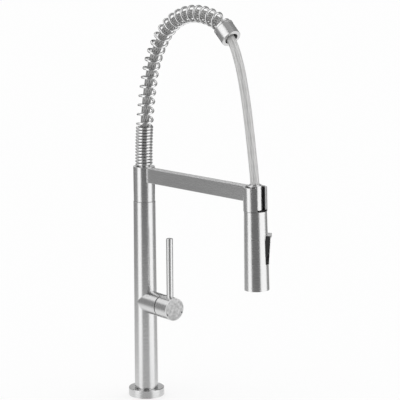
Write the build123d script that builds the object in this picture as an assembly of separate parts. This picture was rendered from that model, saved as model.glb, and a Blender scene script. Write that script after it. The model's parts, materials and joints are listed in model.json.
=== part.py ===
from build123d import *
from math import cos, pi, radians, sin, sqrt, tan
import os

# Spring-neck kitchen faucet with a pull-down spray docked in the ring of its arm. Lengths are millimetres.
# The origin is the middle of the flange's underside, on the worktop. +Z is up, the spout reaches along -Y.
# Each function below makes one piece, and the piece has the function's name.

# Room between pieces that are pushed together, that turn or slide in each other, and that pass freely.
push_room = 0.1
turn_room = 0.08
free_room = 0.3

# Worktop and fixing under it
worktop_thickness = 20.0
shank_radius = 14.0
shank_wall = 2.5
shank_drop = 52.0
shank_rise = 22.0
washer_radius = 27.0
deck_washer_thickness = 2.5
clamp_washer_thickness = 2.0
nut_across_flats = 41.0
nut_height = 10.0
nut_screw_radius = 2.0
nut_screw_length = 16.0
nut_screw_place = 18.5

# Flange on the worktop
flange_radius = 25.0
flange_height = 11.0
flange_edge = 0.8
seal_inner_radius = 18.0
seal_width = 5.5
seal_thickness = 2.0

# Column
column_foot_radius = 16.4
column_top_radius = 15.3
column_top = 278.0
column_bore = 13.6
foot_groove_height = 0.9
foot_groove_depth = 0.8
thread_run_out = 2.0

# Side socket for the cartridge, on an axis along -Y
valve_height = 136.0
socket_radius = 15.75
socket_reach = 40.2
socket_bore = 13.2

# Mixer block inside the column
core_below = 26.0
core_above = 26.0
core_flat = 11.0
inlet_radius = 4.46
inlet_depth = 18.0
inlet_offset = 6.2
outlet_depth = 20.0
riser_radius = 5.4
riser_wall = 1.2
riser_insert = 10.0
riser_end_gap = 1.0

# Cartridge, measured outward from the column's axis
cup_floor = 4.0
cup_wall = 2.0
cup_reach = 37.0
cartridge_reach = 33.0
recess_depth = 3.8
recess_wall = 1.4
turret_flange_thickness = 3.3
turret_neck_radius = 7.9
turret_reach = 37.4
turret_gap = 0.2
turret_slot_set_back = 1.0
bonnet_dome_radius = 14.0
bonnet_wall = 1.8
bonnet_hole_radius = 10.2
bonnet_lip = 1.0

# Handle: a stem that tilts on a pin in the turret, a hub on its end, and an upright lever
pivot_reach = 33.5
pin_radius = 1.5
pin_end_gap = 0.6
stem_side = 7.0
stem_start = 31.2
stem_end = 58.0
stem_end_gap = 2.0
tilt_limit = 25.0
hub_radius = 15.9
hub_gap = 2.0
hub_length = 25.3
hub_skirt_wall = 0.9
hub_skirt_depth = 6.8
hub_edge = 0.6
lever_radius = 4.7
lever_reach = 56.8
lever_seat = 4.2
lever_length = 94.0
lever_edge = 0.9
set_screw_radius = 2.4
set_screw_length = 6.5
set_screw_reach = 53.0
mark_radius = 0.9
mark_depth = 0.6
mark_room = 0.05
mark_side = 12.2
mark_drop = 5.9

# Swivel on the column's top
plug_depth = 38.0
spigot_radius = 9.5
spigot_height = 31.0
o_ring_section = 2.2
o_ring_squeeze = 0.6
o_ring_heights = (8.0, 16.0)
thrust_washer_thickness = 0.6
thrust_washer_set_back = 0.8
swivel_gap = 0.1
clip_thickness = 1.0
clip_bite = 0.9
clip_width = 2.5
clip_opening = 9.0

# Sleeve that turns on the spigot
sleeve_radius = 14.8
sleeve_height = 48.6
sleeve_edge = 0.5
bush_wall = 1.9
bush_low_height = 5.1
seal_land_height = 16.0
seal_room = 0.5
bush_gap = 0.2
bush_high_height = 6.0
cap_height = 13.3
post_radius = 8.2
post_height = 11.0
nipple_radius = 3.5
nipple_wall = 0.9
nipple_collar = 1.5
nipple_grip = 16.0
hose_seat_depth = 9.3

# Arm and docking ring, both rising a little outward
arm_width = 12.0
arm_height = 20.0
arm_root_rise = 37.1
arm_slope = 1.7
arm_edge = 0.6
arm_screw_radius = 2.0
arm_screw_length = 14.0
arm_screw_head_radius = 3.4
arm_screw_head_height = 1.8
arm_screw_spread = 5.2
arm_screw_set_back = 0.5
arm_screw_run_in = 1.0
ring_reach = 240.0
ring_radius = 15.6
ring_wall = 2.6
ring_above = 10.0
ring_below = 21.0
ring_slot_width = 23.0
ring_slot_edge = 0.6
liner_end_gap = 0.5

# Spring: a coil of round wire, wound close at the foot and open along the arch
wire_diameter = 3.2
coil_diameter = 23.5
close_turns = 13
close_pitch = 4.24
open_turns = 21.5
spring_tuck = 6.0

# Arch that the spring follows: a straight foot, then five arcs, each with its radius and its turn
arch_straight = 7.7
arch_foot_radius = 468.0
arch_foot_turn = 14.4
arch_rise_radius = 150.0
arch_rise_turn = 24.5
arch_crown_radius = 102.0
arch_crown_turn = 46.1
arch_fall_radius = 126.0
arch_fall_turn = 22.7
arch_end_radius = 38.0
arch_end_turn = 22.3

# Ferrule on the spring's upper end
ferrule_radius = 13.2
ferrule_length = 21.5
ferrule_collar_radius = 13.6
ferrule_collar_length = 2.4
ferrule_bore = 8.8
ferrule_edge = 0.8
guide_wall = 1.6
guide_margin = 1.5

# Hose: where it leaves the ferrule's axis, then corners as shares of the reach and the drop to its entry
hose_radius = 5.9
hose_wall = 2.3
hose_first_run = 23.0
hose_corner_shares = ((0.326, 0.159), (0.59, 0.395), (0.76, 0.619), (0.893, 0.82))
hose_bend_share = 0.45
hose_entry_height = 17.0

# Spray, measured along its own axis from the middle of the docking ring
neck_radius = 10.0
neck_top = 12.5
neck_edge = 2.0
neck_socket_depth = 16.5
neck_spigot_radius = 7.0
neck_spigot_length = 14.6
crimp_radius = 7.4
crimp_length = 11.5
crimp_proud = 1.0
neck_clip_thickness = 1.2
neck_clip_width = 2.7
neck_clip_bite = 0.8
dock_gap = 0.4
dock_seal_width = 2.4
dock_seal_thickness = 1.3
shell_top_radius = 14.95
shell_foot_radius = 16.35
shell_length = 103.6
shell_roof = 6.0
shell_bore = 13.2
shell_edge = 0.8
core_head_room = 2.6
spigot_end_room = 2.0
face_height = 12.0
face_recess = 1.0
face_radius = 14.5
aerator_radius = 7.0
aerator_height = 11.0
aerator_proud = 0.4
nozzle_count = 12
nozzle_radius = 1.1
nozzle_ring_radius = 10.6
nozzle_proud = 0.8

# Trigger in the side of the spray, on a pin near its lower end
trigger_side = 50.0
trigger_width = 19.6
trigger_low = 90.0
trigger_high = 51.0
trigger_gap = 0.9
trigger_front_radius = 15.8
trigger_plate_thickness = 1.0
trigger_lip = 1.5
trigger_lip_height = 5.0
trigger_tilt = 4.4
pocket_floor = 9.5
trigger_back_gap = 0.4
lug_width = 10.0
lug_depth = 4.3
lug_height = 5.0
lug_depth_room = 0.8
lug_height_room = 1.0
lug_root = 0.5
hinge_pin_radius = 1.0
hinge_pin_room = 0.05
hinge_pin_length = 17.0
hinge_pin_depth = 7.6
hinge_pin_height = 2.7
plunger_radius = 2.4
plunger_length = 7.6
plunger_height = 25.3
plunger_hole_end = 1.0

# Places that follow from the sizes above
shank_bore = shank_radius - shank_wall
thread_room_radius = shank_radius + push_room
seal_outer_radius = seal_inner_radius + seal_width
deck_washer_low = -worktop_thickness - deck_washer_thickness
clamp_washer_low = deck_washer_low - clamp_washer_thickness
nut_low = clamp_washer_low - nut_height
core_low = valve_height - core_below
core_high = valve_height + core_above
outlet_radius = riser_radius + push_room
cup_radius = socket_bore - 2 * push_room
cup_bore = cup_radius - cup_wall
cartridge_start = core_flat + cup_floor
cartridge_radius = cup_bore - 2 * push_room
recess_radius = cartridge_radius - recess_wall
recess_floor = cartridge_reach - recess_depth
hub_start = socket_reach + hub_gap
hub_end = hub_start + hub_length
spigot_top = column_top + spigot_height
plug_low = column_top - plug_depth
sleeve_low = column_top + thrust_washer_thickness + swivel_gap
sleeve_top = sleeve_low + sleeve_height
arm_root_height = sleeve_low + arm_root_rise
arch_straight_top = sleeve_top + arch_straight
thrust_washer_radius = sleeve_radius - thrust_washer_set_back
bush_bore = spigot_radius + turn_room
bush_radius = bush_bore + bush_wall
sleeve_bore = bush_radius + push_room
seal_bore = spigot_radius + seal_room
o_ring_seat = spigot_radius - o_ring_section + o_ring_squeeze
bush_low_top = sleeve_low + bush_gap + bush_low_height
seal_land_top = bush_low_top + seal_land_height
bush_high_top = seal_land_top + bush_high_height
clip_low = bush_high_top + free_room
cap_low = sleeve_top - cap_height
hose_seat = sleeve_top - hose_seat_depth
ring_bore = ring_radius - ring_wall
hose_bore = hose_radius - hose_wall
hose_room_radius = hose_radius + free_room
wire_mean_radius = (coil_diameter - wire_diameter) / 2
shell_top = -ring_below - dock_gap
shell_foot = shell_top - shell_length
roof_low = shell_top - shell_roof
face_low = shell_foot + face_recess
face_high = face_low + face_height
neck_spigot_low = shell_top - neck_spigot_length
hinge_pin_place = -trigger_low + hinge_pin_height

# Frames: along the cartridge's axis, the side view of reach and height, the spray's axis and the trigger
valve_frame = Pos(0, 0, valve_height) * Rot(X=90)
side_view = Plane(origin=(0, 0, 0), x_dir=(0, -1, 0), z_dir=(-1, 0, 0))
arm_frame = Pos(0, 0, arm_root_height) * Rot(X=-arm_slope)
spray_frame = arm_frame * Pos(0, -ring_reach, 0)
trigger_frame = spray_frame * Rot(Z=trigger_side)
trigger_rest_frame = (
    trigger_frame
    * Pos(0, -hinge_pin_depth, hinge_pin_place)
    * Rot(X=trigger_tilt)
    * Pos(0, hinge_pin_depth, -hinge_pin_place)
)


# Basic forms

def rod(radius, low, high):
    """Round bar on the local Z axis, from one height to another."""
    return Pos(0, 0, low) * Cylinder(radius, high - low, align=(Align.CENTER, Align.CENTER, Align.MIN))


def ring(outer, inner, low, high):
    """Round bar with a round hole through it."""
    return rod(outer, low, high) - rod(inner, low, high)


def turned(*points):
    """Solid turned about the local Z axis from a closed outline of radius and height."""
    return revolve(Plane.XZ * make_face(Polyline(*points, close=True)), Axis.Z)


def block(low, high):
    """Rectangular block between two corners."""
    size = [b - a for a, b in zip(low, high)]
    return Pos(*low) * Box(*size, align=(Align.MIN, Align.MIN, Align.MIN))


def cross_rod(radius, x_low, x_high, y, z):
    """Round bar along the local X axis."""
    return Pos(x_low, y, z) * Rot(Y=90) * rod(radius, 0, x_high - x_low)


def outward_rod(radius, start, end, height=0):
    """Round bar along the local -Y axis, from one reach to another."""
    return Pos(0, 0, height) * Rot(X=90) * rod(radius, start, end)


# Fixing under the worktop

def mounting_shank():
    """Threaded tube that passes through the worktop and carries the column."""
    return ring(shank_radius, shank_bore, -shank_drop, shank_rise)


def deck_washer():
    """Rubber washer against the underside of the worktop."""
    return ring(washer_radius, thread_room_radius, deck_washer_low, -worktop_thickness)


def clamp_washer():
    """Steel washer that spreads the nut's load."""
    return ring(washer_radius, thread_room_radius, clamp_washer_low, deck_washer_low)


def nut_screw_places():
    """The two clamping screws stand opposite each other, towards corners of the nut."""
    return [Pos(side * nut_screw_place, 0, 0) for side in (-1, 1)]


def lock_nut():
    """Hexagonal nut on the shank, bored for two clamping screws."""
    hexagon = RegularPolygon(nut_across_flats / 2, 6, major_radius=False)
    body = Pos(0, 0, nut_low) * extrude(hexagon, nut_height)
    body -= rod(thread_room_radius, nut_low, clamp_washer_low)
    for place in nut_screw_places():
        body -= place * rod(nut_screw_radius + push_room, nut_low, clamp_washer_low)
    return body


def nut_screws():
    """Screws that run through the nut and press on the clamp washer."""
    screw_low = clamp_washer_low - nut_screw_length
    screw = rod(nut_screw_radius, screw_low, clamp_washer_low)
    return Compound([place * screw for place in nut_screw_places()])


# Flange and column

def base_flange():
    """Round foot on the worktop, with a groove for its seal underneath."""
    body = ring(flange_radius, thread_room_radius, 0, flange_height)
    body -= ring(seal_outer_radius, seal_inner_radius, 0, seal_thickness)
    top_edges = body.edges().filter_by(GeomType.CIRCLE).group_by(Axis.Z)[-1]
    return fillet(top_edges.sort_by(SortBy.RADIUS)[-1], flange_edge)


def base_seal():
    """Flat seal in the flange's groove."""
    return ring(seal_outer_radius - push_room, seal_inner_radius + push_room, 0, seal_thickness)


def column_outside():
    """Tapered bar with a groove at its foot, from which the column is bored."""
    groove_radius = column_foot_radius - foot_groove_depth
    groove_top = flange_height + foot_groove_height
    return turned(
        (0, flange_height),
        (groove_radius, flange_height),
        (groove_radius, groove_top),
        (column_foot_radius, groove_top),
        (column_top_radius, column_top),
        (0, column_top),
    )


def column_body():
    """Tapered column, threaded at its foot, with a round hole where the cartridge's socket is welded on."""
    body = column_outside() - rod(column_bore, flange_height, column_top)
    body -= rod(thread_room_radius, flange_height, shank_rise + thread_run_out)
    return body - valve_frame * rod(socket_bore, 0, socket_reach)


def cartridge_socket():
    """Short tube for the cartridge, cut to a saddle that fits round the column."""
    return valve_frame * ring(socket_radius, socket_bore, 0, socket_reach) - column_outside()


# Valve inside the column and its socket

def mixer_core():
    """Block that joins the two supply hoses, the cartridge and the riser."""
    body = rod(column_bore - 2 * push_room, core_low, core_high)
    body -= block((-column_bore, -column_bore, core_low), (column_bore, -core_flat, core_high))
    for side in (-1, 1):
        body -= Pos(side * inlet_offset, 0, 0) * rod(inlet_radius, core_low, core_low + inlet_depth)
    body -= rod(outlet_radius, core_high - outlet_depth, core_high)
    return body


def cartridge_housing():
    """Cup that holds the cartridge in the socket, against the flat of the mixer block."""
    body = rod(cup_radius, core_flat, cup_reach)
    body -= rod(cup_bore, cartridge_start, cup_reach)
    return valve_frame * body


def cartridge():
    """Ceramic cartridge, with a recess for the turret that turns its disc."""
    body = rod(cartridge_radius, cartridge_start, cartridge_reach)
    body -= rod(recess_radius, recess_floor, cartridge_reach)
    return valve_frame * body


def cartridge_nut():
    """Ring that screws into the cup and keeps cartridge and turret in."""
    hole = turret_neck_radius + 2 * push_room
    return valve_frame * ring(cup_bore - push_room, hole, cartridge_reach, cup_reach)


def bonnet_ring():
    """Ring in the socket's mouth whose rounded nose stands in the handle's skirt."""
    nose_rise = sqrt(bonnet_dome_radius**2 - bonnet_hole_radius**2)
    shoulder_rise = socket_reach - pivot_reach
    shoulder_radius = sqrt(bonnet_dome_radius**2 - shoulder_rise**2)
    skirt_radius = socket_bore - push_room
    inner_step = socket_reach - bonnet_lip
    nose = (bonnet_hole_radius, pivot_reach + nose_rise)
    shoulder = (shoulder_radius, socket_reach)
    half_radius = (bonnet_hole_radius + shoulder_radius) / 2
    half_way = (half_radius, pivot_reach + sqrt(bonnet_dome_radius**2 - half_radius**2))
    outline = [
        Line(nose, (bonnet_hole_radius, inner_step)),
        Line((bonnet_hole_radius, inner_step), (skirt_radius - bonnet_wall, inner_step)),
        Line((skirt_radius - bonnet_wall, inner_step), (skirt_radius - bonnet_wall, cup_reach)),
        Line((skirt_radius - bonnet_wall, cup_reach), (skirt_radius, cup_reach)),
        Line((skirt_radius, cup_reach), (skirt_radius, socket_reach)),
        Line((skirt_radius, socket_reach), shoulder),
        ThreePointArc(shoulder, half_way, nose),
    ]
    return valve_frame * revolve(Plane.XZ * make_face(outline), Axis.Z)


def riser_tube():
    """Tube that leads the mixed water up the column to the swivel."""
    low = core_high - outlet_depth + riser_end_gap
    return ring(riser_radius, riser_radius - riser_wall, low, plug_low + riser_insert)


# Turret and handle

def stem_turret():
    """Turns in the cartridge with the handle, and carries the pin that the stem tilts on."""
    flange_top = recess_floor + turret_gap + turret_flange_thickness
    body = rod(recess_radius - 2 * push_room, recess_floor + turret_gap, flange_top)
    body += rod(turret_neck_radius, flange_top, turret_reach)
    half = stem_side / 2 + push_room
    tilt = radians(tilt_limit)
    swing = (turret_reach - pivot_reach) * tan(tilt) + stem_side / 2 / cos(tilt)
    slot_end = swing - turret_slot_set_back
    body -= block((-half, -swing - free_room, recess_floor), (half, slot_end, turret_reach))
    body -= cross_rod(pin_radius + turn_room, -turret_neck_radius, turret_neck_radius, 0, pivot_reach)
    return valve_frame * body


def tilt_pin():
    """Cross pin of the stem."""
    half = turret_neck_radius - pin_end_gap
    return valve_frame * cross_rod(pin_radius, -half, half, 0, pivot_reach)


def cartridge_stem():
    """Square stem that reaches from the pin into the hub."""
    half = stem_side / 2
    body = block((-half, -half, stem_start), (half, half, stem_end))
    body -= cross_rod(pin_radius + turn_room, -half, half, 0, pivot_reach)
    return valve_frame * body


def handle_hub():
    """Round hub with a thin skirt that swings over the socket's end as the lever is pulled outward."""
    skirt_floor = hub_start + hub_skirt_depth
    half = stem_side / 2 + push_room
    body = turned(
        (0, hub_start),
        (hub_radius, hub_start),
        (hub_radius, hub_end - hub_edge),
        (hub_radius - hub_edge, hub_end),
        (0, hub_end),
    )
    body -= rod(hub_radius - hub_skirt_wall, hub_start, skirt_floor)
    body -= block((-half, -half, skirt_floor), (half, half, stem_end + stem_end_gap))
    body -= Pos(0, lever_seat, lever_reach) * Rot(X=-90) * rod(lever_radius + push_room, 0, hub_radius)
    body -= Pos(0, 0, set_screw_reach) * Rot(X=90) * rod(set_screw_radius + push_room, 0, hub_radius)
    for side in (-1, 1):
        body -= Pos(side * mark_side, -mark_drop, 0) * rod(mark_radius, hub_end - mark_depth, hub_end)
    return valve_frame * body


def handle_lever():
    """Upright round lever, pressed into the top of the hub."""
    body = rod(lever_radius, lever_seat, lever_seat + lever_length)
    body = fillet(body.edges().filter_by(GeomType.CIRCLE).sort_by(Axis.Z)[-1], lever_edge)
    return Pos(0, -lever_reach, valve_height) * body


def set_screw():
    """Headless screw that holds the hub on the stem, from below."""
    tip = -stem_side / 2
    return Pos(0, -set_screw_reach, valve_height) * rod(set_screw_radius, tip - set_screw_length, tip)


def index_marks():
    """Two small inlays in the hub's face, for hot and cold."""
    mark = rod(mark_radius - mark_room, hub_end - mark_depth, hub_end - push_room)
    return Compound([valve_frame * Pos(side * mark_side, -mark_drop, 0) * mark for side in (-1, 1)])


# Swivel

def swivel_spigot():
    """Plug in the column's top with the spigot that the spout turns on."""
    body = rod(column_bore - push_room, plug_low, column_top)
    body += rod(spigot_radius, column_top, spigot_top)
    body -= rod(outlet_radius, plug_low, spigot_top)
    for height in o_ring_heights:
        low = column_top + height
        body -= ring(spigot_radius, o_ring_seat, low, low + o_ring_section + 2 * push_room)
    groove_low = clip_low - push_room
    groove_high = groove_low + clip_thickness + 2 * push_room
    return body - ring(spigot_radius, spigot_radius - clip_bite, groove_low, groove_high)


def spigot_o_rings():
    """Two sealing rings in the spigot's grooves."""
    outer = seal_bore - push_room
    inner = o_ring_seat + push_room
    lows = [column_top + height + push_room for height in o_ring_heights]
    return Compound([ring(outer, inner, low, low + o_ring_section) for low in lows])


def thrust_washer():
    """Slippery washer that the sleeve's weight rests on."""
    high = column_top + thrust_washer_thickness
    return ring(thrust_washer_radius, spigot_radius + free_room, column_top, high)


def retaining_clip():
    """Open clip that keeps the sleeve on the spigot."""
    inner = spigot_radius - clip_bite + push_room
    body = ring(inner + clip_width, inner, clip_low, clip_low + clip_thickness)
    return body - block(
        (-clip_opening / 2, 0, clip_low), (clip_opening / 2, 2 * spigot_radius, clip_low + clip_thickness)
    )


def swivel_bushes():
    """Two plain bushes in the sleeve, below and above its seal land."""
    low_bush = ring(bush_radius, bush_bore, sleeve_low + bush_gap, bush_low_top)
    high_bush = ring(bush_radius, bush_bore, seal_land_top, bush_high_top)
    return Compound([low_bush, high_bush])


def arm_screw(height, from_radius):
    """One screw along the arm, its head let into the wall of a round piece: the sleeve or the ring."""
    head_start = from_radius + arm_screw_set_back
    head_end = head_start + arm_screw_head_height
    body = outward_rod(arm_screw_head_radius, head_start, head_end, height)
    return body + outward_rod(arm_screw_radius, head_end, head_start + arm_screw_length, height)


def arm_screw_room(height, from_radius):
    """The hole for one of those screws."""
    head_end = from_radius + arm_screw_set_back + arm_screw_head_height
    body = outward_rod(arm_screw_head_radius + push_room, from_radius - arm_screw_run_in, head_end, height)
    return body + outward_rod(arm_screw_radius + push_room, head_end, head_end + arm_screw_length, height)


def arm_screw_frames():
    """Two screws run outward from the sleeve, and one runs inward from the ring."""
    sleeve_screws = [(arm_frame, height, sleeve_bore) for height in (-arm_screw_spread, arm_screw_spread)]
    return sleeve_screws + [(spray_frame * Rot(Z=180), 0, ring_bore)]


def arm_screws():
    """The screws that hold sleeve, arm and ring together."""
    return Compound([frame * arm_screw(height, radius) for frame, height, radius in arm_screw_frames()])


def with_screw_holes(body):
    """Takes the holes of the arm's screws out of a piece."""
    for frame, height, radius in arm_screw_frames():
        body -= frame * arm_screw_room(height, radius)
    return body


def swivel_sleeve():
    """Outer sleeve that turns on the spigot, and carries spring and arm."""
    body = turned(
        (0, sleeve_low),
        (sleeve_radius - sleeve_edge, sleeve_low),
        (sleeve_radius, sleeve_low + sleeve_edge),
        (sleeve_radius, sleeve_top - sleeve_edge),
        (sleeve_radius - sleeve_edge, sleeve_top),
        (0, sleeve_top),
    )
    body -= rod(sleeve_bore, sleeve_low, bush_low_top)
    body -= rod(seal_bore, bush_low_top, seal_land_top)
    body -= rod(sleeve_bore, seal_land_top, sleeve_top)
    return with_screw_holes(body)


def sleeve_cap():
    """Plug in the sleeve's top, with a post that centres the spring and takes the hose's end."""
    body = rod(sleeve_bore - push_room, cap_low, sleeve_top)
    body += rod(post_radius, sleeve_top, sleeve_top + post_height)
    body -= rod(hose_room_radius, hose_seat, sleeve_top + post_height)
    body -= rod(nipple_radius + push_room, cap_low, hose_seat)
    return body


def hose_nipple():
    """Tube that joins the hose to the cap."""
    body = rod(nipple_radius, cap_low, hose_seat + nipple_collar + nipple_grip)
    body += rod(hose_radius, hose_seat, hose_seat + nipple_collar)
    return body - rod(nipple_radius - nipple_wall, cap_low, hose_seat + nipple_collar + nipple_grip)


# Arm and docking ring

def holder_arm():
    """Flat bar from the sleeve to the ring."""
    body = Pos(0, -ring_reach / 2, 0) * Box(arm_width, ring_reach, arm_height)
    body = fillet(body.edges().filter_by(Axis.Y), arm_edge)
    body -= Pos(0, -ring_reach, 0) * rod(ring_radius, -arm_height, arm_height)
    body = arm_frame * body
    body -= rod(sleeve_radius, sleeve_low, sleeve_top)
    return with_screw_holes(body)


def ring_slot(low, high):
    """The slot in the front of the ring, wide enough for the spray's neck."""
    return block((-ring_slot_width / 2, -2 * ring_radius, low), (ring_slot_width / 2, 0, high))


def holder_ring():
    """Open ring that the spray's neck docks in."""
    body = ring(ring_radius, ring_bore, -ring_below, ring_above) - ring_slot(-ring_below, ring_above)
    outer_corners = body.edges().filter_by(Axis.Z).sort_by(lambda edge: -abs(edge.center().Y))[:2]
    body = chamfer(outer_corners, ring_slot_edge)
    return with_screw_holes(spray_frame * body)


def ring_liner():
    """Black lining of the ring that guides the neck."""
    low = -ring_below + dock_seal_thickness + liner_end_gap
    high = ring_above - liner_end_gap
    body = ring(ring_bore - push_room, neck_radius + free_room, low, high)
    return spray_frame * (body - ring_slot(low, high))


# Spring, ferrule and hose

arch_bends = (
    (arch_foot_radius, arch_foot_turn),
    (arch_rise_radius, arch_rise_turn),
    (arch_crown_radius, arch_crown_turn),
    (arch_fall_radius, arch_fall_turn),
    (arch_end_radius, arch_end_turn),
)


def arch_point(travel):
    """Reach, height and heading from upright after so much travel along the arch's centre line."""
    if travel <= arch_straight:
        return 0.0, sleeve_top + travel, 0.0
    travel -= arch_straight
    reach, height, heading = 0.0, arch_straight_top, 0.0
    for radius, turn in arch_bends:
        arc = radius * radians(turn)
        step = min(travel, arc) / radius
        reach += radius * (cos(heading) - cos(heading + step))
        height += radius * (sin(heading + step) - sin(heading))
        heading += step
        travel -= min(travel, arc)
    return reach + travel * sin(heading), height + travel * cos(heading), heading


arch_length = arch_straight + sum(radius * radians(turn) for radius, turn in arch_bends)
arch_end_reach, arch_end_height, arch_end_heading = arch_point(arch_length)
ferrule_frame = Plane(
    origin=(0, -arch_end_reach, arch_end_height),
    x_dir=(1, 0, 0),
    z_dir=(0, -sin(arch_end_heading), cos(arch_end_heading)),
).location


def coil_point(turns, radius):
    """Point of the right-handed coil after so many turns, at a distance from the arch's centre line."""
    first = wire_diameter / 2
    last = arch_length + spring_tuck - wire_diameter / 2
    close_end = first + close_turns * close_pitch
    if turns <= close_turns:
        travel = first + turns * close_pitch
    else:
        travel = close_end + (last - close_end) * (turns - close_turns) / open_turns
    reach, height, heading = arch_point(travel)
    angle = 2 * pi * turns
    inward = -radius * cos(angle)
    return Vector(-radius * sin(angle), -(reach + inward * cos(heading)), height - inward * sin(heading))


def coil_path(arcs_per_turn):
    """The wire's centre line as tangent arcs, which meet half-way between the corners of a polygon."""
    corner_radius = wire_mean_radius / cos(pi / arcs_per_turn)
    count = round((close_turns + open_turns) * arcs_per_turn)
    corners = [coil_point(i / arcs_per_turn, corner_radius) for i in range(count + 1)]
    joints = [(a + b) * 0.5 for a, b in zip(corners, corners[1:])]
    edges = []
    here = joints[0]
    for corner, there in zip(corners[1:-1], joints[1:]):
        inbound = (corner - here).normalized()
        outbound = (there - corner).normalized()
        reach = min((corner - here).length, (there - corner).length)
        start = corner - inbound * reach
        end = corner + outbound * reach
        if (start - here).length > 2e-3:
            edges.append(Edge.make_line(here, start))
        else:
            start = here
        edges.append(Edge.make_tangent_arc(start, inbound, end))
        here = end
        if (there - end).length > 2e-3:
            edges.append(Edge.make_line(end, there))
            here = there
    return Wire(edges)


def spring():
    """The coil spring, swept as one wire. Its section is a hexagon of the round wire's area."""
    path = coil_path(arcs_per_turn=3)
    sides = 6
    corner = wire_diameter / 2 * sqrt(pi / (sides / 2 * sin(2 * pi / sides)))
    section = Plane(origin=path.position_at(0), z_dir=path.tangent_at(0)) * RegularPolygon(corner, sides)
    return sweep(section, path=path)


def spring_ferrule():
    """Cap on the spring's upper end, with a collar and a wide mouth for the hose."""
    body = turned(
        (0, 0),
        (ferrule_collar_radius, 0),
        (ferrule_collar_radius, ferrule_collar_length),
        (ferrule_radius, ferrule_collar_length),
        (ferrule_radius, ferrule_length - ferrule_edge),
        (ferrule_radius - ferrule_edge, ferrule_length),
        (0, ferrule_length),
    )
    body -= rod(coil_diameter / 2 + 2 * push_room, 0, spring_tuck + push_room)
    body -= rod(ferrule_bore, spring_tuck, ferrule_length)
    return ferrule_frame * body


def hose_guide():
    """Black lining of the ferrule's mouth, which the hose runs through."""
    outer = ferrule_bore - push_room
    low = spring_tuck + guide_margin
    return ferrule_frame * ring(outer, outer - guide_wall, low, ferrule_length - guide_margin)


def spray_axis_point(height):
    """Reach and height of a point on the spray's axis."""
    place = (spray_frame * Pos(0, 0, height)).position
    return -place.Y, place.Z


def hose_route():
    """Corners from the arch's end through the ferrule, and in an easy bow down to the spray's axis."""
    leave = arch_point(arch_length + hose_first_run)[:2]
    entry = spray_axis_point(hose_entry_height)
    end = spray_axis_point(neck_top - neck_socket_depth + push_room)
    bow = [
        (leave[0] + across * (entry[0] - leave[0]), leave[1] + down * (entry[1] - leave[1]))
        for across, down in hose_corner_shares
    ]
    return [arch_point(arch_length)[:2], leave, *bow, entry, end]


def hose_path():
    """Centre line of the hose: up the spring along the arch, through the ferrule and down to the neck."""
    start = (0, hose_seat + nipple_collar)
    lines = [Line(start, (0, arch_straight_top))]
    heading = 0.0
    for radius, turn in arch_bends:
        tangent = (sin(radians(heading)), cos(radians(heading)))
        lines.append(JernArc(start=lines[-1] @ 1, tangent=tangent, radius=radius, arc_size=-turn))
        heading += turn
    points = hose_route()
    lines.append(FilletPolyline(*points, radius=corner_radii(points)))
    print("hose bends", [round(radius, 1) for radius in corner_radii(points)])
    return side_view * Wire(Curve() + lines)


def corner_radii(points):
    """Bend at each corner: a share of the shorter run beside it, over the tangent of half the turn."""
    radii = []
    for before, corner, after in zip(points, points[1:], points[2:]):
        inbound = Vector(*corner) - Vector(*before)
        outbound = Vector(*after) - Vector(*corner)
        half_turn = radians(inbound.get_angle(outbound)) / 2
        radii.append(hose_bend_share * min(inbound.length, outbound.length) / tan(half_turn))
    return radii


def spray_hose():
    """Braided hose, as a plain tube."""
    path = hose_path()
    start = Plane(origin=path.position_at(0), z_dir=path.tangent_at(0))
    return sweep(start * (Circle(hose_radius) - Circle(hose_bore)), path=path)


# Spray

def spray_neck():
    """Connector on the hose's end that docks in the ring, with the spigot that the spray turns on."""
    body = turned(
        (0, shell_top + push_room),
        (neck_radius, shell_top + push_room),
        (neck_radius, neck_top - neck_edge),
        (neck_radius - neck_edge, neck_top),
        (0, neck_top),
    )
    body += rod(neck_spigot_radius, neck_spigot_low, shell_top + push_room)
    body -= rod(hose_bore, neck_spigot_low, neck_top)
    body -= rod(hose_room_radius, neck_top - neck_socket_depth, neck_top)
    body -= rod(crimp_radius + push_room, neck_top - crimp_length + crimp_proud, neck_top)
    groove_low = roof_low - free_room - neck_clip_thickness - push_room
    groove_high = roof_low - free_room + push_room
    body -= ring(neck_spigot_radius, neck_spigot_radius - neck_clip_bite, groove_low, groove_high)
    return spray_frame * body


def hose_crimp():
    """Crimped collar round the hose's end."""
    low = neck_top - crimp_length + crimp_proud
    return spray_frame * ring(crimp_radius, hose_room_radius, low, low + crimp_length)


def neck_clip():
    """Ring in the spigot's groove that keeps the spray on the neck."""
    inner = neck_spigot_radius - neck_clip_bite + push_room
    high = roof_low - free_room
    return spray_frame * ring(inner + neck_clip_width, inner, high - neck_clip_thickness, high)


def dock_seal():
    """Soft ring on the shell's shoulder that meets the docking ring's mouth."""
    inner = neck_radius + free_room
    return spray_frame * ring(inner + dock_seal_width, inner, shell_top, shell_top + dock_seal_thickness)


def trigger_pocket():
    """Space for the trigger in the side of shell and valve core, along the trigger's frame."""
    half = trigger_width / 2 + trigger_gap / 2
    low = (-half, -2 * shell_foot_radius, -trigger_low - trigger_gap)
    high = (half, -pocket_floor, -trigger_high + trigger_gap)
    return Rot(Z=trigger_side) * block(low, high)


def spray_shell():
    """Slightly flared metal shell of the spray, open where the trigger is."""
    body = turned(
        (0, shell_foot),
        (shell_foot_radius, shell_foot),
        (shell_top_radius, shell_top),
        (0, shell_top),
    )
    body = fillet(body.edges().filter_by(GeomType.CIRCLE).sort_by(Axis.Z)[-1], shell_edge)
    body -= rod(shell_bore, face_high, roof_low)
    body -= rod(face_radius, shell_foot, face_high)
    body -= rod(neck_spigot_radius + turn_room, roof_low, shell_top)
    return spray_frame * (body - trigger_pocket())


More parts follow.
